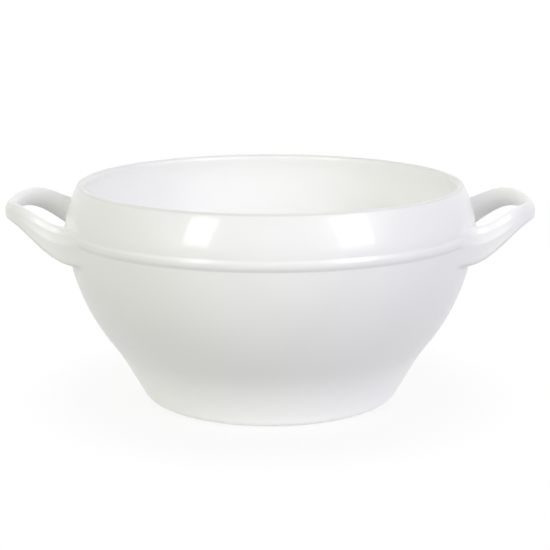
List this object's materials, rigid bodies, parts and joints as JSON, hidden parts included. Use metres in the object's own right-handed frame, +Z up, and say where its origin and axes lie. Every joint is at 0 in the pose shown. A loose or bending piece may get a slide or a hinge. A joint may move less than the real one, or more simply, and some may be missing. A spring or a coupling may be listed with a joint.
{
  "type": "consomme bowl",
  "caption": "Round white porcelain soup bowl on a low foot, with a bead under its collar and a loop handle on either side for lifting it.",
  "frame": {"origin": "centre of the standing ring, on the table", "axes": "+Z up along the bowl's axis, +X towards the handle on the right of the picture, -Y towards the viewer"},
  "size_m": [0.1642, 0.1286, 0.0679],
  "materials": {
    "glaze": "glossy clear glaze over white porcelain",
    "foot": "glossy glaze on the flank, bare and ground smooth on the standing ring",
    "slip": "fired slip under the glaze"
  },
  "bodies": {
    "root": {"bowl_body": "glaze", "foot_ring": "foot", "foot_slip": "slip", "left_handle": "glaze", "right_handle": "glaze", "left_front_slip": "slip", "left_back_slip": "slip", "right_front_slip": "slip", "right_back_slip": "slip"}
  },
  "joints": []
}
